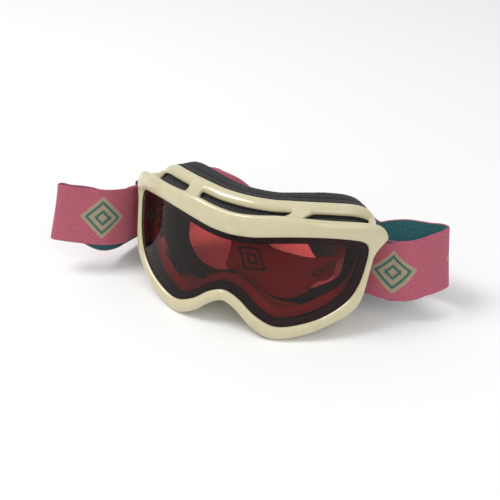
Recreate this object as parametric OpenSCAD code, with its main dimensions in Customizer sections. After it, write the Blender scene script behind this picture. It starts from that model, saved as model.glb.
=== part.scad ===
// Snow goggles, resting on the lower lobes of the frame and on the face foam.
// Sizes are in millimetres. The outlines are written as [arc, height] pairs: arc is
// measured along the lens surface from the centre plane, height is along the goggles.

/* [Lens and ring] */
// Radius of the cylinder that the lens is bent to
lens_r = 120; // [116:1:126]
// Thickness of the outer lens
outer_lens_t = 1.4; // [1:0.1:1.5]
// Thickness of the inner lens
inner_lens_t = 0.8; // [0.6:0.1:1]
// Depth of the foam spacer between the lenses
spacer_t = 3; // [2.4:0.1:3.2]
// Width of the spacer band
spacer_w = 5; // [4:0.1:6]
// How far the outer lens reaches behind the lip of the ring
lens_bite = 2.6; // [1.8:0.1:2.9]
// Height of the ring's crown in front of the lens
ring_crown = 2.4; // [1.8:0.1:3.4]
// Width of the shelf behind the lenses
shelf_w = 9; // [7:0.5:10]
// Wall thickness of the shell
wall = 2.4; // [2:0.1:2.8]

/* [Shell and face] */
// How far the rear rail's face lies behind the lens
rail_back = 17.5; // [16:0.5:18.5]
// How far the flange that carries the face foam lies behind the lens
flange_back = 23; // [22:0.5:24]
// Width of the flange
flange_w = 7; // [6:0.5:8]
// Thickness of the firm foam layer
foam_base_t = 5; // [4:0.5:6]
// Thickness of the soft foam layer
foam_soft_t = 9; // [7:0.5:10]
// Thickness of the fleece lining
fleece_t = 1.2; // [0.8:0.1:1.5]
// Gap at the glued faces of the foam layers
glue = 0.25; // [0.2:0.05:0.4]
// Thickness of the vent filters
filter_t = 3; // [2:0.5:4]
// Angle at which the goggles lean back on the table
lean = 17.4; // [17:0.1:18]

/* [Strap] */
// Width of the strap
strap_w = 40; // [36:1:40]
// Thickness of the strap
strap_t = 1.6; // [1.2:0.1:1.6]
// Diameter of the slider's and the ring's bars
bar_d = 2.2; // [1.8:0.1:2.6]

/* [Hidden] */
$fn = 48;
steps = 3;
rail_r = lens_r - rail_back;
flange_r = lens_r - flange_back;
// Where the lens ring's centre stands, which puts the middle of the part's box at the origin
place_at = [4.5, -61.4, 40.3];
ivory = [0.84, 0.80, 0.68];
charcoal = [0.22, 0.22, 0.24];
rose = [0.80, 0.42, 0.48];
black = [0.13, 0.13, 0.14];
vermilion = [0.55, 0.14, 0.13];

// Half outlines from the top centre round the side to the bottom centre, in 17 stations.
// The edge of the opening in the ring
SIGHT = [[0, 23.3], [14, 24.4], [27, 26.9], [41, 29.2], [58, 30.8], [74, 30.7], [83.5, 29.2],
         [87, 24.5], [86.8, 14], [84.4, 1], [78.5, -9.8], [67, -19.5], [53, -26.6],
         [36, -31], [22, -26], [10.5, -17.4], [0, -13.6]];
// The outer edge of the ring and the brow, with the ear that hooks over the strap
EDGE = [[0, 37.6], [14, 38.8], [28, 41], [42, 41.6], [59, 42], [80, 42.2], [94, 40],
        [100.5, 32], [93.2, 25.5], [89.6, -6], [83.5, -17.6], [70.5, -26.4], [56, -34.4],
        [35, -40.4], [20, -34.8], [9.5, -26.2], [0, -21.8]];
// The inside of the shell behind that edge, which has no ear
BODY = [[0, 37.6], [14, 38.8], [28, 41], [42, 41.6], [59, 42], [78, 41.8], [89, 37.5],
        [93.5, 32], [93.2, 26], [89.6, -6], [83.5, -17.6], [70.5, -26.4], [56, -34.4],
        [35, -40.4], [20, -34.8], [9.5, -26.2], [0, -21.8]];
// The outer edge of the rear flange and rail
FLANGE = [[0, 43.9], [20, 44.4], [34, 45.6], [50, 46.6], [66, 47.3], [84, 47], [97, 43.5],
          [103.5, 36], [105.5, 29], [104.5, -9], [97, -18], [83, -23.5], [63, -28],
          [44, -29], [27, -27], [12, -20.5], [0, -16.5]];
// The outer edge of the foam where it meets the face
FACE = [[0, 45.5], [20, 46], [34, 47.5], [50, 49], [66, 50], [86, 49], [100, 44],
        [107, 34], [109, 25], [107, -4], [101, -16], [88, -23.1], [68, -26.5],
        [46, -28.3], [28, -25.5], [12.5, -18.5], [0, -14.5]];
// The inner edge of the foam
EYES = [[0, 36], [18, 36.4], [31, 37.2], [46, 38.2], [61, 38.7], [77, 38.2], [88, 35.5],
        [93.5, 30.5], [95, 23], [94, -4], [87.5, -10.5], [76, -14.8], [62, -18.5],
        [45, -19.3], [29, -18], [13.5, -12.6], [0, -9]];

// Smooth curves through the stations
function cubic(a, b, c, d, f) =
    0.5 * (2 * b + f * (c - a) + f * f * (2 * a - 5 * b + 4 * c - d)
           + f * f * f * (3 * b - a - 3 * c + d));
function mirrored(half) =
    concat(half, [for (i = [len(half) - 2:-1:1]) [-half[i][0], half[i][1]]]);
function closed_curve(half, n = steps) =
    let (p = mirrored(half), m = len(p))
    [for (i = [0:m - 1], k = [0:n - 1])
        cubic(p[(i + m - 1) % m], p[i], p[(i + 1) % m], p[(i + 2) % m], k / n)];
function unit(v) = v / norm(v);
// A distance or a radius is one number, or a list with one number for each point
function pick(v, i) = is_list(v) ? v[i] : v;
function inward(loop, i) =
    let (m = len(loop), t = unit(loop[(i + 1) % m] - loop[(i + m - 1) % m])) [t[1], -t[0]];
// A positive distance moves the outline inward
function inset(loop, d) =
    [for (i = [0:len(loop) - 1]) loop[i] + pick(d, i) * inward(loop, i)];
function mix_loops(a, b, w) = [for (i = [0:len(a) - 1]) a[i] * (1 - w) + b[i] * w];
// A flat outline laid on a cylinder of radius r about the lens axis
function wrap(loop, r) =
    [for (i = [0:len(loop) - 1])
        let (q = loop[i][0] / lens_r * 180 / PI, a = pick(r, i))
        [a * sin(q), lens_r - a * cos(q), loop[i][1]]];

sight = closed_curve(SIGHT);
edge = closed_curve(EDGE);
body = closed_curve(BODY);
flange = closed_curve(FLANGE);
face = closed_curve(FACE);
eyes = closed_curve(EYES);
count = len(sight);
back_d = 0.1 + outer_lens_t + spacer_t + inner_lens_t;
// The shelf is widest under the lobes and half as wide over the top
shelf = [for (p = sight) shelf_w * max(0.5, min(1, 0.6 - p[1] / 40))];

// The wall slopes from a ridge over the rail forward to the brow. This is the direction
// straight into the cavity at each point, as [inward, forward].
ridge_r = rail_r + 2.5;
ridge_in = 5;
into = [for (i = [0:count - 1])
    let (lean_in = (body[i] - flange[i]) * inward(flange, i) + 1.6 - ridge_in)
    unit([lens_r - 4.5 - ridge_r, -lean_in])];
// Moves the points of an inner row inward until they are a full wall from that slope
function walled(loop, r) =
    [for (i = [0:count - 1])
        let (u = (loop[i] - flange[i]) * inward(flange, i) - ridge_in,
             gap = u * into[i][0] + (pick(r, i) - ridge_r) * into[i][1])
        loop[i] + max(0, wall - gap) / into[i][0] * inward(flange, i)];
// Row at one distance from the slope and at one radius
function off_wall(d, r) =
    wrap(inset(flange, [for (v = into) ridge_in + (d - (r - ridge_r) * v[1]) / v[0]]), r);
// Where the cavity ends behind the lens ring, further back under the lobes
cavity_r = [for (p = sight) lens_r - 8.25 + max(-0.75, min(0.75, p[1] / 20))];
shelf_r = lens_r - back_d - 3;

// Skins of the shell, outer from the lens opening round the brow to the flange, then
// inner from the flange back to the groove that the lens snaps into
outer_skin = [
    wrap(sight, lens_r + 0.3),
    wrap(inset(sight, -0.6), lens_r + 1.5),
    wrap(inset(sight, -2), lens_r + 0.9 * ring_crown),
    wrap(mix_loops(sight, edge, 0.48), lens_r + ring_crown),
    wrap(inset(edge, 1.3), lens_r + 0.65 * ring_crown),
    wrap(edge, lens_r - 0.8),
    wrap(inset(edge, 1.6), lens_r - 4.5),
    wrap(inset(flange, ridge_in), ridge_r),
    wrap(inset(flange, 1), rail_r),
    wrap(flange, flange_r + 1.8),
    wrap(flange, flange_r)];
inner_skin = [
    wrap(inset(flange, flange_w), flange_r),
    wrap(inset(flange, flange_w), flange_r + 1.8),
    wrap(inset(flange, 1 + wall), flange_r + 1.8),
    wrap(inset(flange, 1 + wall), rail_r - 1),
    wrap(walled(inset(flange, 5.2 + wall), ridge_r - 1), ridge_r - 1),
    wrap(walled(inset(body, 1.6 + wall), cavity_r), cavity_r),
    wrap(walled(inset(sight, -2.5), shelf_r), shelf_r),
    wrap(inset(sight, [for (w = shelf) w + 0.4]), lens_r - back_d - 6.3),
    wrap(inset(sight, shelf), lens_r - back_d - 4.7),
    wrap(inset(sight, -0.8), lens_r - back_d - 0.3),
    wrap(inset(sight, -0.8), lens_r - outer_lens_t - 0.3),
    wrap(inset(sight, -lens_bite - 0.6), lens_r - outer_lens_t - 0.3),
    wrap(inset(sight, -lens_bite - 0.6), lens_r),
    wrap(sight, lens_r)];
// Windows in the shell as [outer row, inner row, first station, last station]: the three
// roof vents, two cheek vents, two strap slots, and the gaps behind the two strap posts
windows = [[6, 15, -6, 6], [6, 15, 9, 17], [6, 15, -17, -9], [6, 15, 33, 37], [6, 15, -37, -33],
           [6, 15, 24, 31], [6, 15, -31, -24], [8, 13, 24, 31], [8, 13, -31, -24]];

// Solid between rows of loops joined in a ring, with the windows left out
module skins(rows, holes = []) {
    m = len(rows);
    n = len(rows[0]);
    function at(k, i) = (k % m) * n + (i + n) % n;
    function inside(i, w) = let (a = (i - w[2] + 2 * n) % n) a < w[3] - w[2];
    function open(k, i) =
        len([for (w = holes) if ((w[0] == k || w[1] == k) && inside(i, w)) 1]) > 0;
    quads = concat(
        [for (k = [0:m - 1], i = [0:n - 1]) if (!open(k, i))
            [at(k, i), at(k + 1, i), at(k + 1, i + 1), at(k, i + 1)]],
        [for (w = holes, i = [w[2]:w[3] - 1])
            [at(w[0], i + 1), at(w[0], i), at(w[1] + 1, i), at(w[1] + 1, i + 1)]],
        [for (w = holes, i = [w[2]:w[3] - 1])
            [at(w[0] + 1, i), at(w[0] + 1, i + 1), at(w[1], i + 1), at(w[1], i)]],
        [for (w = holes)
            [at(w[0], w[2]), at(w[0] + 1, w[2]), at(w[1], w[2]), at(w[1] + 1, w[2])]],
        [for (w = holes)
            [at(w[0] + 1, w[3]), at(w[0], w[3]), at(w[1] + 1, w[3]), at(w[1], w[3])]]);
    polyhedron([for (r = rows, p = r) p],
               [for (q = quads, f = [[q[0], q[1], q[2]], [q[0], q[2], q[3]]]) f], 10);
}

// Solid strip between rows of loops, from one station to another
module strip(rows, first, last) {
    n = len(rows[0]);
    m = len(rows);
    c = last - first + 1;
    quads = [for (j = [0:c - 2], k = [0:m - 1])
        [j * m + k, j * m + (k + 1) % m, (j + 1) * m + (k + 1) % m, (j + 1) * m + k]];
    polyhedron([for (i = [first:last], r = rows) r[(i + n) % n]],
               concat([for (q = quads, f = [[q[0], q[1], q[2]], [q[0], q[2], q[3]]]) f],
                      [for (k = [1:m - 2]) [0, k + 1, k]],
                      [for (k = [1:m - 2]) [(c - 1) * m, (c - 1) * m + k, (c - 1) * m + k + 1]]),
               10);
}

// The goggles leaned back on the table
module place() {
    translate(place_at)
        rotate([-lean, 0, 0])
            children();
}

module frame() {
    color(ivory) place() skins(concat(outer_skin, inner_skin), windows);
}

// Half the height of the cutters, more than the lenses need
reach = 60;
// A lens bent about the lens axis, cut to an outline that its rear face fills
module bent_lens(loop, r, t) {
    intersection() {
        translate([0, lens_r, -reach]) difference() {
            cylinder(h = 2 * reach, r = r, $fn = 360);
            translate([0, 0, -1]) cylinder(h = 2 * reach + 2, r = r - t, $fn = 360);
        }
        translate([0, lens_r / 2, 0]) rotate([90, 0, 0]) linear_extrude(lens_r * 0.75)
            polygon([for (p = loop) [(r - t) * sin(p[0] / lens_r * 180 / PI), p[1]]]);
    }
}

module outer_lens() {
    color(vermilion) place() bent_lens(inset(sight, -lens_bite), lens_r - 0.1, outer_lens_t);
}

module lens_spacer() {
    r = lens_r - 0.1 - outer_lens_t;
    outer = inset(sight, -0.5);
    inner = inset(sight, spacer_w - 0.5);
    color(black) place()
        skins([wrap(outer, r), wrap(outer, r - spacer_t + 0.15),
               wrap(inner, r - spacer_t + 0.15), wrap(inner, r)]);
}

module inner_lens() {
    color(vermilion) place()
        bent_lens(inset(sight, -0.5), lens_r - 0.1 - outer_lens_t - spacer_t, inner_lens_t);
}

// An upper filter from one station to another, thinner towards the lens. It fills the
// pocket under the rail.
module upper_filter(first, last) {
    color(charcoal) place() strip([
        wrap(inset(flange, 6.2 + wall + filter_t), rail_r + 0.5),
        wrap(inset(body, 2 + wall + filter_t / 2), lens_r - 8.8),
        wrap(inset(body, 2 + wall), lens_r - 8.8),
        wrap(inset(flange, 6.2 + wall), rail_r + 1.5),
        wrap(inset(flange, 1.7 + wall), rail_r - 1.3),
        wrap(inset(flange, 1.9 + wall), rail_r - 2.9)], first, last);
}
module lower_filter(first, last) {
    d = wall + 0.9;
    color(charcoal) place() strip([
        off_wall(d, ridge_r + 3.3), off_wall(d, ridge_r), off_wall(d + filter_t, ridge_r - 0.5),
        off_wall(d + filter_t / 2, ridge_r + 2.8)], first, last);
}
module top_vent_foam_left() upper_filter(-18, -8);
module top_vent_foam_centre() upper_filter(-7, 7);
module top_vent_foam_right() upper_filter(8, 18);
module lower_vent_foam_left() lower_filter(-38, -32);
module lower_vent_foam_right() lower_filter(32, 38);

soft_r = flange_r - foam_base_t;
skin_r = soft_r - foam_soft_t;
module face_foam_base() {
    outer = mix_loops(flange, face, 0.3);
    color(charcoal) place()
        skins([wrap(flange, flange_r - 0.15), wrap(outer, soft_r), wrap(eyes, soft_r),
               wrap(eyes, flange_r - 0.15)]);
}
module face_foam_soft() {
    outer = mix_loops(flange, face, 0.3);
    middle = mix_loops(flange, face, 0.8);
    color(charcoal) place()
        skins([wrap(outer, soft_r - glue), wrap(middle, (soft_r + skin_r) / 2),
               wrap(face, skin_r), wrap(inset(eyes, 1), skin_r), wrap(eyes, soft_r - glue)]);
}
module face_fleece() {
    color(charcoal) place()
        skins([wrap(inset(face, 0.5), skin_r - glue),
               wrap(inset(face, 1), skin_r - glue - fleece_t),
               wrap(inset(eyes, 0.4), skin_r - glue - fleece_t),
               wrap(inset(eyes, 1), skin_r - glue)]);
}

// Stretch of the left band that the slider rides on, straight and slightly rising
band_start = [-104, 37, -2.5];
band_turn = 12;
band_rise = 12;
function on_band(along, across = 0) = [
    band_start[0] + along * sin(band_turn) * cos(band_rise) + across * cos(band_turn),
    band_start[1] + along * cos(band_turn) * cos(band_rise) - across * sin(band_turn),
    band_start[2] + along * sin(band_rise),
    -20 * sin(band_turn) * sin(band_rise), -20 * cos(band_turn) * sin(band_rise),
    20 * cos(band_rise)];

// Routes of the bands. A station is the point on the centre line and half the width as a
// vector, and a station with no vector stands upright. Round a post a band gathers a little.
function at_post(x, y) = [x, y, 8.5, 0, 0, 18];
LEFT_BAND = [
    [-94.1, 35, 6.5], [-93.6, 42, 7, 0, 0, 19.5], [-92.2, 48.5, 7.5, 0, 0, 19],
    [-89, 54, 8, 0, 0, 18.5], at_post(-84.5, 57.3), at_post(-80, 57.2),
    at_post(-77.1, 55.3), at_post(-75.3, 53.7), at_post(-73.8, 52.2), at_post(-72.8, 50.2),
    at_post(-72.9, 48.1), at_post(-74.6, 46.4), at_post(-78, 46.1), at_post(-81.5, 46.6),
    at_post(-85.5, 47.3), [-89.3, 46.2, 8, 0, 0, 18.5], [-91.6, 42, 7.5, 0, 0, 19],
    [-92.3, 36, 7, 0, 0, 19.5], [-94.2, 28, 6.5], [-100, 17.7, 6.5], [-112.5, 10.8, 6.5],
    [-125, 5.5, 6.5, 1, 0, 20], [-131, 4.6, 6.5, 2, 0, 20], [-133.2, 6.8, 6.5, 2.5, 0, 20],
    [-131, 9.2, 6.5, 2, 0, 20], [-125, 9.8, 6.5, 1, 0, 20], [-115, 15.5, 6],
    [-108.8, 22, 4], [-105.5, 29.5, 0.6], on_band(0), on_band(4), on_band(10), on_band(20),
    on_band(30),
    on_band(38), on_band(44, -0.9), on_band(46, -1.1), on_band(47.55, -0.46),
    on_band(48.2, 1.1), on_band(47.55, 2.66), on_band(46, 3.3), on_band(43.5, 2.9),
    on_band(40.5, 2.2)];
RIGHT_BAND = [
    on_band(57, 3), on_band(54.6, 3.2), on_band(52.6, 3.3), on_band(51.05, 2.66),
    on_band(50.4, 1.1), on_band(51.05, -0.46), on_band(52.6, -1.1), on_band(56, -0.9),
    [-91, 96.5, 10.5, 3, -1.5, 19.4], [-89.5, 102.5, 12.5, 12, -4.6, 15],
    [-87, 109, 14, 16.5, -9.5, 3.5], [-83.5, 114, 14, 12.5, -13.6, -7.5],
    [-78, 116.5, 13.5, 4, -12.5, -14.8], [-71.5, 115, 12.5, -2.5, -8, -18.1],
    [-64, 111, 12, -2, -6, -19], [-54, 107, 12, 0, -4, -19.6], [-43, 101, 12, 0, -2, -20],
    [-33, 95, 11.5, 0, 0, -20], [-27, 89, 11, 0, 0, -20], [-24.5, 78, 11.5, 0, 0, -20],
    [-19.5, 60, 13, 0, 0, -20], [-15, 46, 14.5, 0, 0, -20], [-10.5, 34, 15, 0, 0, -20],
    [-7.5, 24.5, 14, 0, 0, -19.5], [-4.5, 17.25, 12, -0.5, 1.25, -18.2],
    [4, 16.75, 9, -1, 2.25, -17], [13, 16.75, 3.5, -1, 2.75, -16.5],
    [20.5, 17.1, 0.25, -0.5, 3.6, -16.75], [28.25, 18.25, -1.25, -0.25, 4.25, -17.05],
    [36.25, 19.75, -1.1, -0.25, 4.25, -16.4], [43.25, 23.25, 0.15, -1.25, 4.75, -14.65],
    [48.75, 29, 2.4, -3.25, 6, -12.4], [53.5, 36.5, 4.25, -4.5, 5.5, -11.25],
    [55, 46, 6, -3, 4, -14], [54.75, 54.5, 8.5, -1.75, 2.5, -16.5],
    [52, 64, 10, -1, 1, -19], [47, 76, 11, 4, -15, -12], [42.5, 86, 12, 5, -19, 1],
    [40.5, 96, 13, 4, -14, 14], [43.5, 104, 14.3, 0, -5, 19], [50, 106, 12.7],
    [57.5, 101.5, 10.5], [64, 94.5, 9], [71, 88, 8], [78, 84.7, 9], [86, 83.3, 12.5],
    [94, 82, 15.2], [102, 80, 16.5], [111, 77.5, 17.8, -2, 0, 20],
    [118, 75, 19.5, -3, 0, 19.8], [122.6, 70.5, 20, -3.8, 0, 19.6],
    [121.5, 64.5, 19, -3, 0, 19.8], [116, 57.5, 16.5, -1, 1, 20], [109, 51.5, 13.5],
    [101.5, 48.3, 10.5], [94.5, 47, 9, 0, 0, 19.3], [88, 46, 8.5, 0, 0, 18.6],
    at_post(82, 45.8), at_post(78, 46.1), at_post(74.6, 46.4), at_post(72.9, 48.1),
    at_post(72.8, 50.2), at_post(73.8, 52.2), at_post(75.3, 53.7), at_post(77.1, 55.3),
    at_post(80.3, 56.8), [84.5, 55, 8.2, 0, 0, 18.6], [88.5, 51, 8, 0, 0, 19.3],
    [93, 49, 8.5], [98, 49.3, 9.5], [103, 50.6, 11]];

function full(p) = len(p) == 3 ? concat(p, [0, 0, 20]) : p;
function open_curve(p, n = steps) =
    let (m = len(p))
    concat([for (i = [0:m - 2], k = [0:n - 1])
               cubic(full(p[max(i - 1, 0)]), full(p[i]), full(p[i + 1]),
                     full(p[min(i + 2, m - 1)]), k / n)],
           [full(p[m - 1])]);
function point(c) = [c[0], c[1], c[2]];
function vector(c) = [c[3], c[4], c[5]];

module ribbon(route) {
    c = open_curve(route);
    m = len(c);
    corners = [for (i = [0:m - 1])
        let (t = unit(point(c[min(i + 1, m - 1)]) - point(c[max(i - 1, 0)])),
             v = vector(c[i]),
             w = unit(v - (v * t) * t) * norm(v) * strap_w / 40,
             n = unit(cross(w, t)) * strap_t / 2,
             p = point(c[i]))
        each [p + w + n, p + w - n, p - w - n, p - w + n]];
    polyhedron(corners, concat(
        [for (i = [0:m - 2], k = [0:3], half = [0, 1])
            let (a = 4 * i + k, b = 4 * i + (k + 1) % 4)
            half == 0 ? [a, b, b + 4] : [a, b + 4, a + 4]],
        [[0, 2, 1], [0, 3, 2]],
        [[4 * m - 4, 4 * m - 3, 4 * m - 2], [4 * m - 4, 4 * m - 2, 4 * m - 1]]), 10);
}
module strap_left() {
    color(rose) place() ribbon(LEFT_BAND);
}
module strap_right() {
    color(rose) place() ribbon(RIGHT_BAND);
}

// The band's own axes: X across from its outer face, Y along, Z over its width
module beside_band() {
    place() translate(band_start) rotate([0, 0, -band_turn]) rotate([band_rise, 0, 0])
        children();
}
rail_z = strap_w / 2 + 0.3;
rail_t = 1.4;
module bar(x, y) {
    translate([x, y, -rail_z - 0.5]) cylinder(h = 2 * rail_z + 1, r = bar_d / 2, $fn = 24);
}
module both_rails() {
    for (z = [rail_z, -rail_z - rail_t])
        translate([0, 0, z]) linear_extrude(rail_t) children();
}
slider_y = 25;
slider_len = 13;
loop_x = strap_t / 2 + 0.6 + 1.3 + 0.3 + bar_d / 2;
loop_y = slider_y + slider_len / 2;
module strap_slider() {
    outer_x = -strap_t / 2 - 0.3 - bar_d / 2;
    color(black) beside_band() {
        both_rails() polygon([
            [outer_x - bar_d / 2, slider_y + 1], [outer_x - bar_d / 2 + 1, slider_y],
            [1, slider_y], [loop_x + bar_d / 2, loop_y - 3], [loop_x + bar_d / 2, loop_y + 3],
            [1, slider_y + slider_len], [outer_x - bar_d / 2 + 1, slider_y + slider_len],
            [outer_x - bar_d / 2, slider_y + slider_len - 1]]);
        bar(outer_x, slider_y + bar_d / 2 + 0.2);
        bar(outer_x, slider_y + slider_len - bar_d / 2 - 0.2);
        bar(loop_x, loop_y);
    }
}
module slider_loop() {
    color(rose) beside_band() translate([0, 0, -strap_w / 2]) linear_extrude(strap_w)
        difference() {
            union() {
                translate([loop_x, loop_y]) circle(bar_d / 2 + 1.6);
                translate([loop_x - bar_d / 2 - 1.6, loop_y]) square([3, 8]);
            }
            translate([loop_x, loop_y]) circle(bar_d / 2 + 0.3);
        }
}
ring_y = 46;
ring_gap = 6.6;
module strap_ring() {
    x = 1.1;
    color(black) beside_band() {
        both_rails() translate([x - bar_d / 2, ring_y - bar_d / 2])
            square([bar_d, ring_gap + bar_d]);
        bar(x, ring_y);
        bar(x, ring_y + ring_gap);
    }
}

frame();
outer_lens();
lens_spacer();
inner_lens();
top_vent_foam_left();
top_vent_foam_centre();
top_vent_foam_right();
lower_vent_foam_left();
lower_vent_foam_right();
face_foam_base();
face_foam_soft();
face_fleece();
strap_left();
strap_right();
strap_slider();
slider_loop();
strap_ring();
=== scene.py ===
# Snow goggles with a vermilion double lens, resting on a pale floor.
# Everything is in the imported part's frame. Shapes are written in millimetres, as in the
# part's source, and placed() turns them into the frame's metres.
import math

import bmesh
import bpy
import numpy as np
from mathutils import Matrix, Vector


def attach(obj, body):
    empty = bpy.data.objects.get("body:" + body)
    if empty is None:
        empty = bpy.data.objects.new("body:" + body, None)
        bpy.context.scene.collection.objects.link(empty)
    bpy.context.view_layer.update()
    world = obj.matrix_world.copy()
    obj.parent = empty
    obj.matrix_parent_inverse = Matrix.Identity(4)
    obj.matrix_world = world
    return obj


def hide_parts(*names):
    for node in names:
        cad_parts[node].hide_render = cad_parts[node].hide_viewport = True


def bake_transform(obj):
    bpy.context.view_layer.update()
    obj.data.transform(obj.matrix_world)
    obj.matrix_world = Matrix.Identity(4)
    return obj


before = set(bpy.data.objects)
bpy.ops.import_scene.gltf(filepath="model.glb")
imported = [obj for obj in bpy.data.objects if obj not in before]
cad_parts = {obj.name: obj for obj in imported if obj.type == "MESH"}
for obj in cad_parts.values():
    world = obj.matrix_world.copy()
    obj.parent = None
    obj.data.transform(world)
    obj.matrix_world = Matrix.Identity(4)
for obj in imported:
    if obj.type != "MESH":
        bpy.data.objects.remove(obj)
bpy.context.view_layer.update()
MM = 0.001

# Camera
# The photograph was taken from the front right and above, with a short telephoto view. The
# angles are measured from the goggles' resting place, and the target is near the nose.
VIEW_AZIMUTH = math.radians(24.1)
VIEW_ELEVATION = math.radians(35.2)
VIEW_DISTANCE = 0.501
VIEW_TARGET = Vector((0.0104, -0.0386, 0.0422))
VIEW_LENS = 56.2

camera = bpy.data.objects.new("camera", bpy.data.cameras.new("camera"))
bpy.context.scene.collection.objects.link(camera)
bpy.context.scene.camera = camera
camera.data.lens = VIEW_LENS
camera.data.sensor_width = 36
camera.data.clip_start = 0.01
towards_camera = Vector((math.sin(VIEW_AZIMUTH) * math.cos(VIEW_ELEVATION),
                         -math.cos(VIEW_AZIMUTH) * math.cos(VIEW_ELEVATION),
                         math.sin(VIEW_ELEVATION)))
camera.location = VIEW_TARGET + VIEW_DISTANCE * towards_camera
camera.rotation_euler = towards_camera.to_track_quat("Z", "Y").to_euler()

# Frame
# One piece of soft urethane, injection moulded with a gloss skin: the ring round the lens,
# the brow with its two ears, the vented roof, the rear rail and the two strap posts. Its
# outlines are drawn flat as [arc, height] and then bent to cylinders about the lens axis.
LENS_R = 120.0
OUTER_LENS_T, INNER_LENS_T, SPACER_T, SPACER_W = 1.4, 0.8, 3.0, 5.0
LENS_BITE, RING_CROWN, SHELF_W, WALL = 2.6, 2.4, 9.0, 2.4
RAIL_R, FLANGE_R, FLANGE_W = 102.5, 97.0, 7.0
RIDGE_R, RIDGE_IN = RAIL_R + 2.5, 5.0
LEAN = math.radians(17.4)
RING_CENTRE = Vector((4.5, -61.4, 40.3))
SIGHT = [[0, 23.3], [14, 24.4], [27, 26.9], [41, 29.2], [58, 30.8], [74, 30.7], [83.5, 29.2],
         [87, 24.5], [86.8, 14], [84.4, 1], [78.5, -9.8], [67, -19.5], [53, -26.6],
         [36, -31], [22, -26], [10.5, -17.4], [0, -13.6]]
EDGE = [[0, 37.6], [14, 38.8], [28, 41], [42, 41.6], [59, 42], [80, 42.2], [94, 40],
        [100.5, 32], [93.2, 25.5], [89.6, -6], [83.5, -17.6], [70.5, -26.4], [56, -34.4],
        [35, -40.4], [20, -34.8], [9.5, -26.2], [0, -21.8]]
BODY = [[0, 37.6], [14, 38.8], [28, 41], [42, 41.6], [59, 42], [78, 41.8], [89, 37.5],
        [93.5, 32], [93.2, 26], [89.6, -6], [83.5, -17.6], [70.5, -26.4], [56, -34.4],
        [35, -40.4], [20, -34.8], [9.5, -26.2], [0, -21.8]]
FLANGE = [[0, 43.9], [20, 44.4], [34, 45.6], [50, 46.6], [66, 47.3], [84, 47], [97, 43.5],
          [103.5, 36], [105.5, 29], [104.5, -9], [97, -18], [83, -23.5], [63, -28],
          [44, -29], [27, -27], [12, -20.5], [0, -16.5]]
FINER = 2
STEPS = 3 * FINER
# Windows as [outer row, inner row, first station, last station]: three roof vents, two
# cheek vents, two strap slots, and the gaps behind the two strap posts. There are three
# stations to each point of an outline, and FINER steps to each station.
WINDOWS = [[6, 15, -6.5, 6.5], [6, 15, 9, 18], [6, 15, -18, -9], [6, 15, 33, 37], [6, 15, -37, -33],
           [6, 15, 24, 31], [6, 15, -31, -24], [8, 13, 24, 31], [8, 13, -31, -24]]


def placed(point):
    """A point of the goggles, in mm, in the frame's metres: they lean back on the floor."""
    x, y, z = point
    return MM * (RING_CENTRE + Vector((x, y * math.cos(LEAN) + z * math.sin(LEAN),
                                       z * math.cos(LEAN) - y * math.sin(LEAN))))


def cubic(a, b, c, d, f):
    return 0.5 * (2 * b + f * (c - a) + f * f * (2 * a - 5 * b + 4 * c - d)
                  + f ** 3 * (3 * b - a - 3 * c + d))


def closed_curve(half, steps=STEPS):
    """A smooth loop through a half outline and its mirror image."""
    p = np.array(half + [[-x, y] for x, y in half[-2:0:-1]], float)
    m = len(p)
    return np.array([cubic(p[i - 1], p[i], p[(i + 1) % m], p[(i + 2) % m], k / steps)
                     for i in range(m) for k in range(steps)])


def inward(loop):
    """The direction to the inside of the loop at each of its points."""
    along = np.roll(loop, -1, 0) - np.roll(loop, 1, 0)
    along /= np.linalg.norm(along, axis=1)[:, None]
    return np.stack([along[:, 1], -along[:, 0]], 1)


def inset(loop, distance):
    """The loop moved inwards by a distance, or by one for each point."""
    return loop + np.reshape(distance, (-1, 1)) * inward(loop)


def wrap(loop, r):
    """A flat loop laid on a cylinder of radius r about the lens axis."""
    angle = loop[:, 0] / LENS_R
    return np.stack([r * np.sin(angle), LENS_R - r * np.cos(angle), loop[:, 1]], 1)


def skin_faces(rows, loop, windows=()):
    """Quads between rows of loops joined in a ring, with the windows left out."""
    def at(k, i):
        return (k % rows) * loop + i % loop

    def shut(k, i):
        return not any(k in w[:2] and (i - w[2]) % loop < w[3] - w[2] for w in windows)

    faces = [(at(k, i), at(k + 1, i), at(k + 1, i + 1), at(k, i + 1))
             for k in range(rows) for i in range(loop) if shut(k, i)]
    for outer, inner, first, last in windows:
        for i in range(first, last):
            faces.append((at(outer, i + 1), at(outer, i), at(inner + 1, i), at(inner + 1, i + 1)))
            faces.append((at(outer + 1, i), at(outer + 1, i + 1), at(inner, i + 1), at(inner, i)))
        faces.append((at(outer, first), at(outer + 1, first),
                      at(inner, first), at(inner + 1, first)))
        faces.append((at(outer + 1, last), at(outer, last),
                      at(inner + 1, last), at(inner, last)))
    return faces


def piece(name, points, faces, material, replaces=(), body="goggles", subdivide=0):
    """A mesh piece of the goggles from points in mm, smooth shaded, on its body."""
    mesh = bpy.data.meshes.new(name)
    mesh.from_pydata([placed(p) for p in points], [], faces)
    bm = bmesh.new()
    bm.from_mesh(mesh)
    bmesh.ops.recalc_face_normals(bm, faces=bm.faces)
    bm.to_mesh(mesh)
    bm.free()
    mesh.shade_smooth()
    obj = bpy.data.objects.new(name, mesh)
    bpy.context.scene.collection.objects.link(obj)
    for m in material if isinstance(material, list) else [material]:
        mesh.materials.append(m)
    if subdivide:
        rounding = obj.modifiers.new("rounding", "SUBSURF")
        rounding.levels = rounding.render_levels = subdivide
    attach(obj, body)
    if replaces:
        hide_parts(*replaces)
    return obj


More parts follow.
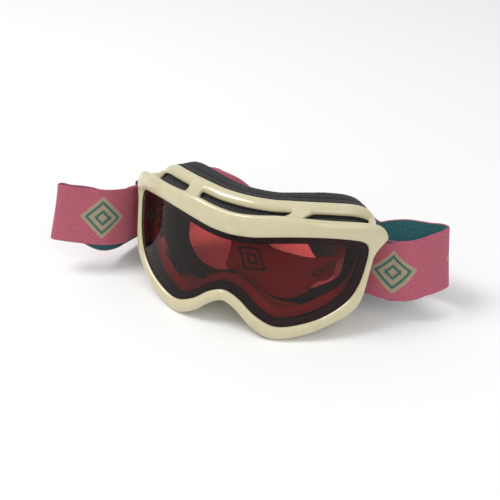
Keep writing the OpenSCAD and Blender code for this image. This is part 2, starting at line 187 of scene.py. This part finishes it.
def add(tree, kind, inputs=(), **settings):
    """A shader node with its settings. Its inputs are values, or the sockets that feed them."""
    n = tree.nodes.new("ShaderNode" + kind)
    for key, value in settings.items():
        setattr(n, key, value)
    for key, value in dict(inputs).items():
        if isinstance(value, bpy.types.NodeSocket):
            tree.links.new(value, n.inputs[key])
        else:
            n.inputs[key].default_value = value
    return n


def colour(hex_code):
    """A scene colour from its usual six-digit code."""
    parts = [int(hex_code[i:i + 2], 16) / 255 for i in (0, 2, 4)]
    return [((c + 0.055) / 1.055) ** 2.4 if c > 0.04045 else c / 12.92 for c in parts] + [1]


def new_material(name, **sockets):
    """A material, its node tree and its main shader with the given plain values."""
    material = bpy.data.materials.new(name)
    material.use_nodes = True
    shader = material.node_tree.nodes["Principled BSDF"]
    for key, value in sockets.items():
        shader.inputs[key.replace("_", " ")].default_value = value
    return material, material.node_tree, shader


def speckle(tree, size, detail=2.0):
    """Noise with grains of a size in mm, fixed to the piece."""
    place = add(tree, "TexCoord").outputs["Object"]
    return add(tree, "TexNoise", {"Vector": place, "Scale": 1 / (size * MM), "Detail": detail})


def blend_colours(tree, shader, factor, colours):
    """The shader's colour as a ramp of evenly spaced colours over a factor."""
    ramp = add(tree, "ValToRGB", {"Fac": factor})
    for i, c in enumerate(colours):
        stop = ramp.color_ramp.elements[i] if i < 2 else ramp.color_ramp.elements.new(1)
        stop.position = 0.3 + 0.4 * i / (len(colours) - 1)
        stop.color = colour(c)
    tree.links.new(ramp.outputs["Color"], shader.inputs["Base Color"])
    return ramp


def relief(tree, shader, height, depth, under=None):
    """A bump of a depth in mm from a height of 0 to 1, over another bump if there is one."""
    inputs = {"Height": height, "Distance": depth * MM, "Strength": 1.0}
    if under:
        inputs["Normal"] = under.outputs["Normal"]
    bump = add(tree, "Bump", inputs)
    tree.links.new(bump.outputs["Normal"], shader.inputs["Normal"])
    return bump


back_d = 0.1 + OUTER_LENS_T + SPACER_T + INNER_LENS_T
sight, edge, body, flange = (closed_curve(half) for half in (SIGHT, EDGE, BODY, FLANGE))
shelf = SHELF_W * np.clip(0.5 - sight[:, 1] / 36, 0.15, 1)
cavity_r = LENS_R - 8.25 + np.clip(sight[:, 1] / 20, -0.75, 0.75)
shelf_r = LENS_R - back_d - 3
lean_in = ((body - flange) * inward(flange)).sum(1) + 1.6 - RIDGE_IN
into = np.stack([0 * lean_in + LENS_R - 4.5 - RIDGE_R, -lean_in], 1)
into /= np.linalg.norm(into, axis=1)[:, None]


def walled(loop, r):
    """An inner row moved inwards until it is a full wall from the slope outside."""
    gap = (((loop - flange) * inward(flange)).sum(1) - RIDGE_IN) * into[:, 0]
    gap += (r - RIDGE_R) * into[:, 1]
    return loop + (np.maximum(0, WALL - gap) / into[:, 0])[:, None] * inward(flange)


def off_wall(d, r):
    """A row at one distance from that slope and at one radius."""
    return wrap(inset(flange, RIDGE_IN + (d - (r - RIDGE_R) * into[:, 1]) / into[:, 0]), r)


outer_skin = [
    wrap(sight, LENS_R + 0.3),
    wrap(inset(sight, -0.6), LENS_R + 1.5),
    wrap(inset(sight, -2), LENS_R + 0.9 * RING_CROWN),
    wrap(0.52 * sight + 0.48 * edge, LENS_R + RING_CROWN),
    wrap(inset(edge, 1.3), LENS_R + 0.65 * RING_CROWN),
    wrap(edge, LENS_R - 0.8),
    wrap(inset(edge, 1.6), LENS_R - 4.5),
    wrap(inset(flange, RIDGE_IN), RIDGE_R),
    wrap(inset(flange, 1), RAIL_R),
    wrap(flange, FLANGE_R + 1.8),
    wrap(flange, FLANGE_R)]
inner_skin = [
    wrap(inset(flange, FLANGE_W), FLANGE_R),
    wrap(inset(flange, FLANGE_W), FLANGE_R + 1.8),
    wrap(inset(flange, 1 + WALL), FLANGE_R + 1.8),
    wrap(inset(flange, 1 + WALL), RAIL_R - 1),
    wrap(walled(inset(flange, 5.2 + WALL), RIDGE_R - 1), RIDGE_R - 1),
    wrap(walled(inset(body, 1.6 + WALL), cavity_r), cavity_r),
    wrap(walled(inset(sight, -2.5), shelf_r), shelf_r),
    wrap(inset(sight, shelf + 0.4), LENS_R - back_d - 6.3),
    wrap(inset(sight, shelf), LENS_R - back_d - 4.7),
    wrap(inset(sight, -0.8), LENS_R - back_d - 0.3),
    wrap(inset(sight, -0.8), LENS_R - OUTER_LENS_T - 0.3),
    wrap(inset(sight, -LENS_BITE - 0.6), LENS_R - OUTER_LENS_T - 0.3),
    wrap(inset(sight, -LENS_BITE - 0.6), LENS_R),
    wrap(sight, LENS_R)]

ivory, tree, shader = new_material("ivory_urethane", Roughness=0.17, IOR=1.5)
shader.inputs["Coat Weight"].default_value = 0.35
shader.inputs["Coat Roughness"].default_value = 0.06
blend_colours(tree, shader, speckle(tree, 14).outputs["Fac"], ["c8bf9c", "ccc3a1", "c6bc98"])
flow = relief(tree, shader, speckle(tree, 5, 1).outputs["Fac"], 0.05)
relief(tree, shader, speckle(tree, 0.5).outputs["Fac"], 0.004, flow)

rows = outer_skin + inner_skin
openings = [[outer, inner, round(first * FINER), round(last * FINER)]
            for outer, inner, first, last in WINDOWS]
piece("frame_shell", np.vstack(rows), skin_faces(len(rows), len(sight), openings), ivory,
      ["frame"], subdivide=2)

# Lenses
# The outer lens is cut from a sheet of vermilion polycarbonate, bent to the ring and held by
# its groove. A thinner clear sheet with an anti-fog face stands behind it on a dark foam tape.
DISC_RINGS = 14
DISC_STEPS = 6
DISC_CENTRE = np.array([0, 7.0])


def bent_disc(name, loop, r, t, materials, node):
    """A sheet of thickness t behind radius r, filled with rings about the middle of its outline."""
    n = len(loop)
    rings = [DISC_CENTRE + (loop - DISC_CENTRE) * (1 - k / DISC_RINGS) for k in range(DISC_RINGS)]
    layers = rings + [DISC_CENTRE[None, :]]
    points = np.vstack([wrap(np.vstack(layers), r), wrap(np.vstack(layers), r - t)])
    side = n * DISC_RINGS + 1
    faces = []
    for base in (0, side):
        for k in range(DISC_RINGS - 1):
            for i in range(n):
                a, b = base + k * n + i, base + k * n + (i + 1) % n
                faces.append((a, b, b + n, a + n))
        last = base + (DISC_RINGS - 1) * n
        faces += [(last + i, last + (i + 1) % n, base + side - 1) for i in range(n)]
    faces += [(i, (i + 1) % n, side + (i + 1) % n, side + i) for i in range(n)]
    disc = piece(name, points, faces, materials, [node])
    front = (len(faces) - n) // 2
    for index, polygon in enumerate(disc.data.polygons):
        polygon.material_index = 0 if index < front else 1
    edges = disc.data.edges
    rim = {frozenset((i + base, (i + 1) % n + base)) for base in (0, side) for i in range(n)}
    sharp = disc.data.attributes.new("sharp_edge", "BOOLEAN", "EDGE")
    sharp.data.foreach_set("value", [frozenset(e.vertices) in rim for e in edges])
    return disc


def film(name, tint, shine=None):
    """A see-through sheet: what passes takes the tint, and a shine mirrors as that index does."""
    material = bpy.data.materials.new(name)
    material.use_nodes = True
    tree = material.node_tree
    tree.nodes.remove(tree.nodes["Principled BSDF"])
    clear = add(tree, "BsdfTransparent", {"Color": tint})
    surface = clear
    if shine:
        gloss = add(tree, "BsdfGlossy", {"Roughness": 0.04})
        streaks = add(tree, "TexNoise", {"Vector": add(tree, "TexCoord").outputs["Object"],
                                         "Scale": 60.0, "Detail": 2.0})
        waves = add(tree, "Bump", {"Height": streaks.outputs["Fac"], "Distance": 0.00008})
        tree.links.new(waves.outputs["Normal"], gloss.inputs["Normal"])
        amount = add(tree, "Fresnel", {"IOR": shine})
        surface = add(tree, "MixShader", {0: amount.outputs["Fac"], 1: clear.outputs["BSDF"],
                                          2: gloss.outputs["BSDF"]})
    tree.links.new(surface.outputs[0], tree.nodes["Material Output"].inputs["Surface"])
    return material


fine_sight = closed_curve(SIGHT, DISC_STEPS)
lens_front = film("lens_front", (0.85, 0.32, 0.31, 1), 1.36)
lens_rear = film("lens_rear", (0.85, 0.32, 0.31, 1))
anti_fog = film("anti_fog", (0.97, 0.95, 0.94, 1))
bent_disc("lens_outer", inset(fine_sight, -LENS_BITE), LENS_R - 0.1, OUTER_LENS_T,
          [lens_front, lens_rear], "outer_lens")
bent_disc("lens_inner", inset(fine_sight, -0.5), LENS_R - 0.1 - OUTER_LENS_T - SPACER_T,
          INNER_LENS_T, [anti_fog, anti_fog], "inner_lens")

tape, tree, shader = new_material("foam_tape", Roughness=0.9)
blend_colours(tree, shader, speckle(tree, 0.9, 4).outputs["Fac"], ["1c1618", "2a2124"])
relief(tree, shader, speckle(tree, 0.6, 3).outputs["Fac"], 0.12)
spacer_r = LENS_R - 0.1 - OUTER_LENS_T
tape_out, tape_in = inset(sight, -0.5), inset(sight, SPACER_W - 0.5)
spacer_rows = [wrap(tape_out, spacer_r), wrap(tape_out, spacer_r - SPACER_T + 0.15),
               wrap(tape_in, spacer_r - SPACER_T + 0.15), wrap(tape_in, spacer_r)]
piece("spacer_tape", np.vstack(spacer_rows), skin_faces(4, len(sight)), tape,
      ["lens_spacer"])

# Vent filters
# Strips of open-cell foam pressed under the vents from inside. Their edges are knife cut, so
# they stay a little ragged.
FILTER_T = 3.0


def ragged(obj, size, depth):
    """Small random bulges and dents on a foam piece, with grains of a size in mm."""
    texture = bpy.data.textures.new(obj.name + "_grain", "CLOUDS")
    texture.noise_scale = size * MM
    texture.noise_depth = 2
    lumps = obj.modifiers.new("grain", "DISPLACE")
    lumps.texture = texture
    lumps.texture_coords = "LOCAL"
    lumps.strength = depth * MM
    lumps.mid_level = 0.5


charcoal, tree, shader = new_material("open_cell_foam", Roughness=0.95)
shader.inputs["Sheen Weight"].default_value = 0.08
cells = speckle(tree, 0.7, 3).outputs["Fac"]
blend_colours(tree, shader, cells, ["0c0c0e", "1d1d20", "36363b"])
relief(tree, shader, cells, 0.5)

# The upper ones fill the pocket under the rail, and the lower ones lie against the wall
upper_section = [wrap(inset(flange, 6.2 + WALL + FILTER_T), RAIL_R + 0.5),
                 wrap(inset(body, 2 + WALL + FILTER_T / 2), LENS_R - 8.8),
                 wrap(inset(body, 2 + WALL), LENS_R - 8.8),
                 wrap(inset(flange, 6.2 + WALL), RAIL_R + 1.5),
                 wrap(inset(flange, 1.7 + WALL), RAIL_R - 1.3),
                 wrap(inset(flange, 1.9 + WALL), RAIL_R - 2.9)]
laid = WALL + 0.9
lower_section = [off_wall(laid, RIDGE_R + 3.3), off_wall(laid, RIDGE_R),
                 off_wall(laid + FILTER_T, RIDGE_R - 0.5),
                 off_wall(laid + FILTER_T / 2, RIDGE_R + 2.8)]

for name, first, last, section in (("top_vent_foam_left", -19, -8, upper_section),
                                   ("top_vent_foam_centre", -7, 7, upper_section),
                                   ("top_vent_foam_right", 8, 19, upper_section),
                                   ("lower_vent_foam_left", -38, -32, lower_section),
                                   ("lower_vent_foam_right", 32, 38, lower_section)):
    m = len(section)
    stations = range(first * FINER, last * FINER + 1)
    points = [row[i % len(row)] for i in stations for row in section]
    faces = [(m * j + k, m * j + (k + 1) % m, m * j + m + (k + 1) % m, m * j + m + k)
             for j in range(len(stations) - 1) for k in range(m)]
    tail = m * (len(stations) - 1)
    faces += [(base, base + k, base + k + 1) for base in (0, tail) for k in range(1, m - 1)]
    strip = piece("filter_" + name.replace("_vent_foam", ""), points, faces, charcoal,
                  [name])
    strip.data.shade_flat()
    grid = strip.modifiers.new("grid", "SUBSURF")
    grid.subdivision_type = "SIMPLE"
    grid.levels = grid.render_levels = 3
    ragged(strip, 1.2, 0.5)

# Face foam
# Three layers glued to the rear flange: a firm foam, a softer one that follows the face, and
# a thin brushed fleece on the skin side.
FOAM_BASE_T, FOAM_SOFT_T, FLEECE_T, GLUE = 5.0, 9.0, 1.2, 0.25
FACE = [[0, 45.5], [20, 46], [34, 47.5], [50, 49], [66, 50], [86, 49], [100, 44],
        [107, 34], [109, 25], [107, -4], [101, -16], [88, -23.1], [68, -26.5],
        [46, -28.3], [28, -25.5], [12.5, -18.5], [0, -14.5]]
EYES = [[0, 36], [18, 36.4], [31, 37.2], [46, 38.2], [61, 38.7], [77, 38.2], [88, 35.5],
        [93.5, 30.5], [95, 23], [94, -4], [87.5, -10.5], [76, -14.8], [62, -18.5],
        [45, -19.3], [29, -18], [13.5, -12.6], [0, -9]]
face, eyes = closed_curve(FACE), closed_curve(EYES)
soft_r = FLANGE_R - FOAM_BASE_T
skin_r = soft_r - FOAM_SOFT_T


def foam_ring(name, rows, material, node, depth):
    """A foam layer that runs round the face opening, with a grain of a depth in mm."""
    ring = piece(name, np.vstack(rows), skin_faces(len(rows), len(face)), material,
                 [node], subdivide=3)
    ragged(ring, 1.0, depth)
    return ring


def eased(a, b, w):
    """A loop at a share w of the way from a to b."""
    return (1 - w) * a + w * b


base_r = FLANGE_R - 0.15
base_t = base_r - soft_r
# Rows of the firm foam, in ninths of its depth, close together at its two edges
ninths = (0, 0.4, 4, 8.6, 9)
base_rows = [wrap(eased(flange, face, w / 30), base_r - base_t * w / 9) for w in ninths]
base_rows += [wrap(eyes, base_r - base_t * w / 9) for w in ninths[::-1]]
foam_base = foam_ring("foam_firm", base_rows, charcoal, "face_foam_base", 0.25)

# The soft foam swells from the firm one towards the face and towards the eyes
soft_rows = [wrap(eased(flange, face, w), soft_r - FOAM_SOFT_T * d)
             for w, d in ((0.3, 0.03), (0.34, 0.06), (0.6, 0.25), (0.8, 0.5), (0.95, 0.8), (1, 1))]
soft_rows += [wrap(inset(eyes, w), soft_r - FOAM_SOFT_T * d)
              for w, d in ((1, 1), (0.8, 0.8), (0.4, 0.4), (0, 0.06), (0, 0.03))]
foam_soft = foam_ring("foam_soft", soft_rows, charcoal, "face_foam_soft", 0.35)

fleece, tree, shader = new_material("brushed_fleece", Roughness=1.0)
shader.inputs["Sheen Weight"].default_value = 0.25
nap = speckle(tree, 0.5, 4).outputs["Fac"]
blend_colours(tree, shader, nap, ["161619", "29292d", "414146"])
relief(tree, shader, nap, 0.4)
lining_r = skin_r - GLUE
fleece_rows = [wrap(inset(loop, d), lining_r - w * FLEECE_T)
               for loop, d, w in ((face, 0.5, 0), (face, 0.6, 0.4), (face, 1.2, 1),
                                  (eyes, 0.4, 1), (eyes, 0.7, 0.4), (eyes, 1, 0))]
foam_ring("fleece_lining", fleece_rows, fleece, "face_fleece", 0.25)

# Strap
# Two bands of 40 mm woven elastic, rose outside with a two-colour pattern and teal inside,
# with a darker selvedge. The left one passes round the ring, and each is sewn round its post.
HALF_W = 20.0
STRAP_STEPS = 6
BAND_START = np.array([-104, 37, -2.5])
BAND_TURN, BAND_RISE = math.radians(12), math.radians(12)


def on_band(along, across=0.0):
    """A station on the straight stretch that the slider rides on."""
    x, y, z = BAND_START
    level = math.cos(BAND_RISE)
    return [x + along * math.sin(BAND_TURN) * level + across * math.cos(BAND_TURN),
            y + along * math.cos(BAND_TURN) * level - across * math.sin(BAND_TURN),
            z + along * math.sin(BAND_RISE),
            -HALF_W * math.sin(BAND_TURN) * math.sin(BAND_RISE),
            -HALF_W * math.cos(BAND_TURN) * math.sin(BAND_RISE), HALF_W * level]


def at_post(x, y):
    """A station at a post, where the band gathers a little."""
    return [x, y, 8.5, 0, 0, 18]


# A station is the point on the centre line and half the width as a vector, upright if left out
LEFT_BAND = [
    [-94.1, 35, 6.5], [-93.6, 42, 7, 0, 0, 19.5], [-92.2, 48.5, 7.5, 0, 0, 19],
    [-89, 54, 8, 0, 0, 18.5], at_post(-84.5, 57.3), at_post(-80, 57.2),
    at_post(-77.1, 55.3), at_post(-75.3, 53.7), at_post(-73.8, 52.2), at_post(-72.8, 50.2),
    at_post(-72.9, 48.1), at_post(-74.6, 46.4), at_post(-78, 46.1), at_post(-81.5, 46.6),
    at_post(-85.5, 47.3), [-89.3, 46.2, 8, 0, 0, 18.5], [-91.6, 42, 7.5, 0, 0, 19],
    [-92.3, 36, 7, 0, 0, 19.5], [-94.2, 28, 6.5], [-100, 17.7, 6.5], [-112.5, 10.8, 6.5],
    [-125, 5.5, 6.5, 1, 0, 20], [-131, 4.6, 6.5, 2, 0, 20], [-133.2, 6.8, 6.5, 2.5, 0, 20],
    [-131, 9.2, 6.5, 2, 0, 20], [-125, 9.8, 6.5, 1, 0, 20], [-115, 15.5, 6],
    [-108.8, 22, 2.4], [-105.5, 29.5, -1.8], on_band(0), on_band(4), on_band(10), on_band(20),
    on_band(30),
    on_band(38), on_band(44, -0.9), on_band(46, -1.1), on_band(47.55, -0.46),
    on_band(48.2, 1.1), on_band(47.55, 2.66), on_band(46, 3.3), on_band(43.5, 2.9)]
RIGHT_BAND = [
    on_band(57, 3), on_band(54.6, 3.2), on_band(52.6, 3.3), on_band(51.05, 2.66),
    on_band(50.4, 1.1), on_band(51.05, -0.46), on_band(52.6, -1.1), on_band(56, -0.9),
    [-91, 96.5, 10.5, 3, -1.5, 19.4], [-89.5, 102.5, 12.5, 12, -4.6, 15],
    [-87, 109, 14, 16.5, -9.5, 3.5], [-83.5, 114, 14, 12.5, -13.6, -7.5],
    [-78, 116.5, 13.5, 4, -12.5, -14.8], [-71.5, 115, 12.5, -2.5, -8, -18.1],
    [-64, 111, 12, -2, -6, -19], [-54, 107, 12, 0, -4, -19.6], [-43, 101, 12, 0, -2, -20],
    [-33, 95, 11.5, 0, 0, -20], [-27, 89, 11, 0, 0, -20], [-24.5, 78, 11.5, 0, 0, -20],
    [-19.5, 60, 13, 0, 0, -20], [-15, 46, 14.5, 0, 0, -20], [-10.5, 34, 15, 0, 0, -20],
    [-7.5, 24.5, 14, 0, 0, -19.5], [-4.5, 17.25, 12, -0.5, 1.25, -18.2],
    [4, 16.75, 9, -1, 2.25, -17], [13, 16.75, 3.5, -1, 2.75, -16.5],
    [20.5, 17.1, 0.25, -0.5, 3.6, -16.75], [28.25, 18.25, -1.25, -0.25, 4.25, -17.05],
    [36.25, 19.75, -1.1, -0.25, 4.25, -16.4], [43.25, 23.25, 0.15, -1.25, 4.75, -14.65],
    [48.75, 29, 2.4, -3.25, 6, -12.4], [53.5, 36.5, 4.25, -4.5, 5.5, -11.25],
    [55, 46, 6, -3, 4, -14], [54.75, 54.5, 8.5, -1.75, 2.5, -16.5],
    [52, 64, 10, -1, 1, -19], [47, 76, 11, 4, -15, -12], [42.5, 86, 12, 5, -19, 1],
    [40.5, 96, 13, 4, -14, 14], [43.5, 104, 14.3, 0, -5, 19], [50, 106, 12.7],
    [57.5, 101.5, 10.5], [64, 94.5, 9], [71, 88, 8], [78, 84.7, 9], [86, 83.3, 12.5],
    [94, 82, 15.2], [102, 80, 16.5], [111, 77.5, 17.8, -2, 0, 20],
    [118, 75, 19.5, -3, 0, 19.8], [122.6, 70.5, 20, -3.8, 0, 19.6],
    [121.5, 64.5, 19, -3, 0, 19.8], [116, 57.5, 16.5, -1, 1, 20], [109, 51.5, 13.5],
    [101.5, 48.3, 10.5], [94.5, 47, 9, 0, 0, 19.3], [88, 46, 8.5, 0, 0, 18.6],
    at_post(82, 45.8), at_post(78, 46.1), at_post(74.6, 46.4), at_post(72.9, 48.1),
    at_post(72.8, 50.2), at_post(73.8, 52.2), at_post(75.3, 53.7), at_post(77.1, 55.3),
    at_post(80.3, 56.8), [84.5, 55, 8.2, 0, 0, 18.6], [88.5, 51, 8, 0, 0, 19.3],
    [93, 49, 8.5], [98, 49.3, 9.5], [103, 50.6, 11]]
# Half of the band's cross section on its rose side, as [across the width, off the middle].
# A face whose middle is farther out than SELVEDGE_FROM has the selvedge's colour.
SELVEDGE_FROM = 19.3
BEAD = [[-19.9, 0], [-19.8, 0.45], [-19.4, 0.75], [-19, 0.8], [-18.6, 0.74]]
FIELD = [[v, 0.76] for v in (-15, -10, -5, 0, 5, 10, 15)]


def unit(v):
    return v / np.linalg.norm(v)


def open_curve(route, steps):
    """A smooth run through the stations of a route."""
    p = [np.array(s + [0, 0, HALF_W] if len(s) == 3 else s, float) for s in route]
    m = len(p)
    return [cubic(p[max(i - 1, 0)], p[i], p[i + 1], p[min(i + 2, m - 1)], k / steps)
            for i in range(m - 1) for k in range(steps)] + [p[-1]]


def band_frames(route, steps=STRAP_STEPS):
    """Points of a route: the centre, half the width as a vector, the rose side's normal and
    how far along it lies."""
    c = open_curve(route, steps)
    along = 0.0
    found = []
    for i, station in enumerate(c):
        ahead = unit(c[min(i + 1, len(c) - 1)][:3] - c[max(i - 1, 0)][:3])
        v = station[3:]
        wide = unit(v - (v @ ahead) * ahead) * np.linalg.norm(v)
        if i:
            along += np.linalg.norm(station[:3] - c[i - 1][:3])
        found.append((station[:3], wide, unit(np.cross(wide, ahead)), along))
    return found


def band(name, route, node=None):
    """A band with rounded selvedges, whose UV map holds mm along and across. With a node, it
    rides on the goggles and stands for that node."""
    rose_half = BEAD + FIELD + [[-v, h] for v, h in BEAD[:0:-1]]
    section = rose_half + [[-BEAD[0][0], 0]] + [[-v, -h] for v, h in rose_half[1:]]
    n = len(section)
    frames = band_frames(route)
    points = [p + w * v / HALF_W + side * h for p, w, side, _ in frames for v, h in section]
    faces, marks, flat = [], [], []
    edge_parts = [k for k, (v, h) in enumerate(section)
                  if abs(v + section[(k + 1) % n][0]) / 2 > SELVEDGE_FROM]
    for j in range(len(frames) - 1):
        for k in range(n):
            a, b = j * n + k, j * n + (k + 1) % n
            faces.append((a, b, b + n, a + n))
            marks.append(2 if k in edge_parts else 0 if k < n // 2 else 1)
            v0, v1 = section[k][0], section[(k + 1) % n][0]
            here, there = frames[j][3], frames[j + 1][3]
            flat += [(here, v0), (here, v1), (there, v1), (there, v0)]
    for base in (0, (len(frames) - 1) * n):
        faces.append(tuple(base + k for k in range(n)))
        marks.append(2)
        flat += [(frames[0 if base == 0 else -1][3], v) for v, h in section]
    mesh = bpy.data.meshes.new(name)
    mesh.from_pydata([placed(p) for p in points], [], faces)
    mesh.shade_smooth()
    uv = mesh.uv_layers.new(name="cloth")
    uv.data.foreach_set("uv", np.array(flat, float).ravel())
    mesh.polygons.foreach_set("material_index", marks)
    bm = bmesh.new()
    bm.from_mesh(mesh)
    bmesh.ops.recalc_face_normals(bm, faces=bm.faces)
    bm.to_mesh(mesh)
    bm.free()
    obj = bpy.data.objects.new(name, mesh)
    bpy.context.scene.collection.objects.link(obj)
    for m in (rose_weave, teal_weave, selvedge):
        mesh.materials.append(m)
    if node:
        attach(obj, "goggles")
        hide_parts(node)
    return obj


def math_node(tree, operation, a, b=0.0, c=0.0):
    """The result of one step of arithmetic on values or sockets."""
    return add(tree, "Math", {0: a, 1: b, 2: c}, operation=operation).outputs[0]


def woven(name, colours, fuzz):
    """Woven elastic: fine ribs across, ends along, and a mottled, slightly hairy face."""
    material, tree, shader = new_material(name, Roughness=0.92)
    shader.inputs["Sheen Weight"].default_value = fuzz
    shader.inputs["Sheen Roughness"].default_value = 0.5
    cloth = add(tree, "UVMap", uv_map="cloth").outputs["UV"]
    along = add(tree, "SeparateXYZ", {0: cloth}).outputs
    ribs = math_node(tree, "SINE", math_node(tree, "MULTIPLY", along[0], 2 * math.pi / 0.9))
    ends = math_node(tree, "SINE", math_node(tree, "MULTIPLY", along[1], 2 * math.pi / 0.7))
    weave = math_node(tree, "MULTIPLY_ADD", ribs, ends, 1.0)
    relief(tree, shader, math_node(tree, "MULTIPLY", weave, 0.5), 0.18)
    mottle = add(tree, "TexNoise", {"Vector": cloth, "Scale": 0.9, "Detail": 4.0})
    shade = math_node(tree, "MULTIPLY_ADD", weave, 0.12, mottle.outputs["Fac"])
    ramp = blend_colours(tree, shader, math_node(tree, "SUBTRACT", shade, 0.12), colours)
    return material, tree, shader, ramp, cloth


selvedge = woven("selvedge", ["932f50", "a84264", "b95876"], 0.2)[0]
teal_weave = woven("teal_weave", ["1c5056", "26666c", "33797f"], 0.15)[0]

# The rose side carries woven diamonds of nested sand and teal bands, stepped as a loom
# makes them
rose_weave, tree, shader, ground, cloth = woven("rose_weave", ["a64c60", "b2586a", "bd6576"], 0.12)
MOTIF_EVERY, MOTIF_HALF, LOOM_STEP = 52.0, 15.0, 0.8
steps = add(tree, "VectorMath", {0: cloth, 1: (LOOM_STEP,) * 3}, operation="SNAP").outputs[0]
middle = add(tree, "VectorMath", {0: steps, 1: (LOOM_STEP / 2,) * 3}, operation="ADD").outputs[0]
cell = add(tree, "SeparateXYZ", {0: middle}).outputs
along = math_node(tree, "PINGPONG", math_node(tree, "ADD", cell[0], 10.0), MOTIF_EVERY / 2)
across = math_node(tree, "ABSOLUTE", cell[1])
reach = math_node(tree, "DIVIDE", math_node(tree, "ADD", along, across), MOTIF_HALF)
nested = math_node(tree, "FRACT", math_node(tree, "MULTIPLY", reach, 2.5))
inside = math_node(tree, "LESS_THAN", reach, 1.0)
motif = add(tree, "ValToRGB", {"Fac": nested})
motif.color_ramp.interpolation = "CONSTANT"
motif.color_ramp.elements[0].color = colour("a3937a")
motif.color_ramp.elements[1].color = colour("38665e")
motif.color_ramp.elements[1].position = 0.55
pattern = add(tree, "Mix", {0: inside}, data_type="RGBA")
tree.links.new(ground.outputs["Color"], pattern.inputs[6])
tree.links.new(motif.outputs["Color"], pattern.inputs[7])
tree.links.new(pattern.outputs[2], shader.inputs["Base Color"])

band("band_left", LEFT_BAND, "strap_left")
band("band_right", RIGHT_BAND, "strap_right")

# Past the ring the left band runs back into the slider's loop. This stretch grows as the
# slider moves away from the ring.
RETURN_START, RETURN_END, RETURN_OFF = 43.5, 33, 2.9
returned = band("band_return", [on_band(d, RETURN_OFF)
                                for d in np.linspace(RETURN_START, RETURN_END, 8)])
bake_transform(returned)

# Adjuster
# A black acetal slider with three bars rides on the left band, with the band's sewn end round
# its middle bar. A rectangular ring joins the two bands.
acetal, tree, shader = new_material("black_acetal", Roughness=0.32)
grain = speckle(tree, 0.8).outputs["Fac"]
blend_colours(tree, shader, grain, ["0d0d0e", "17171a"])
relief(tree, shader, grain, 0.02)
for name in ("strap_slider", "strap_ring"):
    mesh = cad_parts[name].data
    mesh.materials.clear()
    mesh.materials.append(acetal)
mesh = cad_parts["slider_loop"].data
mesh.materials.clear()
loop_cloth, tree, shader = new_material("loop_cloth", Roughness=0.92)
blend_colours(tree, shader, speckle(tree, 0.6, 4).outputs["Fac"], ["a64c60", "b2586a", "bd6576"])
relief(tree, shader, speckle(tree, 0.5, 2).outputs["Fac"], 0.15)
mesh.materials.append(loop_cloth)

# Floor and light
# A plain pale floor that runs out to the backdrop, a broad soft lamp from the front left, a
# weaker one from the right, and an even pale sky.
FLOOR_SIZE = 6.0
SKY_LIGHT = 0.65
floor_mesh = bpy.data.meshes.new("floor")
half = FLOOR_SIZE / 2
floor_mesh.from_pydata([(-half, -half, 0), (half, -half, 0), (half, half, 0), (-half, half, 0)], [],
                       [(0, 1, 2, 3)])
floor = bpy.data.objects.new("floor", floor_mesh)
bpy.context.scene.collection.objects.link(floor)
pale, tree, shader = new_material("pale_floor", Roughness=0.9)
shader.inputs["Base Color"].default_value = (0.9, 0.9, 0.9, 1)
shader.inputs["Specular IOR Level"].default_value = 0.1
floor_mesh.materials.append(pale)

world = bpy.data.worlds.new("studio")
bpy.context.scene.world = world
world.use_nodes = True
tree = world.node_tree
sky = tree.nodes["Background"]
path = add(tree, "LightPath").outputs
seen = math_node(tree, "MAXIMUM", path["Is Camera Ray"], path["Is Transmission Ray"])
sky.inputs["Color"].default_value = (1, 1, 1, 1)
strength = math_node(tree, "MULTIPLY_ADD", seen, 1 - SKY_LIGHT, SKY_LIGHT)
tree.links.new(strength, sky.inputs["Strength"])


def lamp(name, place, aim, size, power):
    """A square lamp of a size in metres and a power in watts, turned to its aim."""
    light = bpy.data.lights.new(name, "AREA")
    light.size = size
    light.energy = power
    obj = bpy.data.objects.new(name, light)
    bpy.context.scene.collection.objects.link(obj)
    obj.location = place
    obj.rotation_euler = (Vector(place) - Vector(aim)).to_track_quat("Z", "Y").to_euler()
    return obj


lamp("key_lamp", (-0.75, -0.3, 1.35), (0, 0, 0.04), 0.6, 12)
lamp("fill_lamp", (1.0, -0.6, 0.9), (0, 0, 0.04), 0.9, 4)

bpy.context.scene.view_settings.view_transform = "Standard"
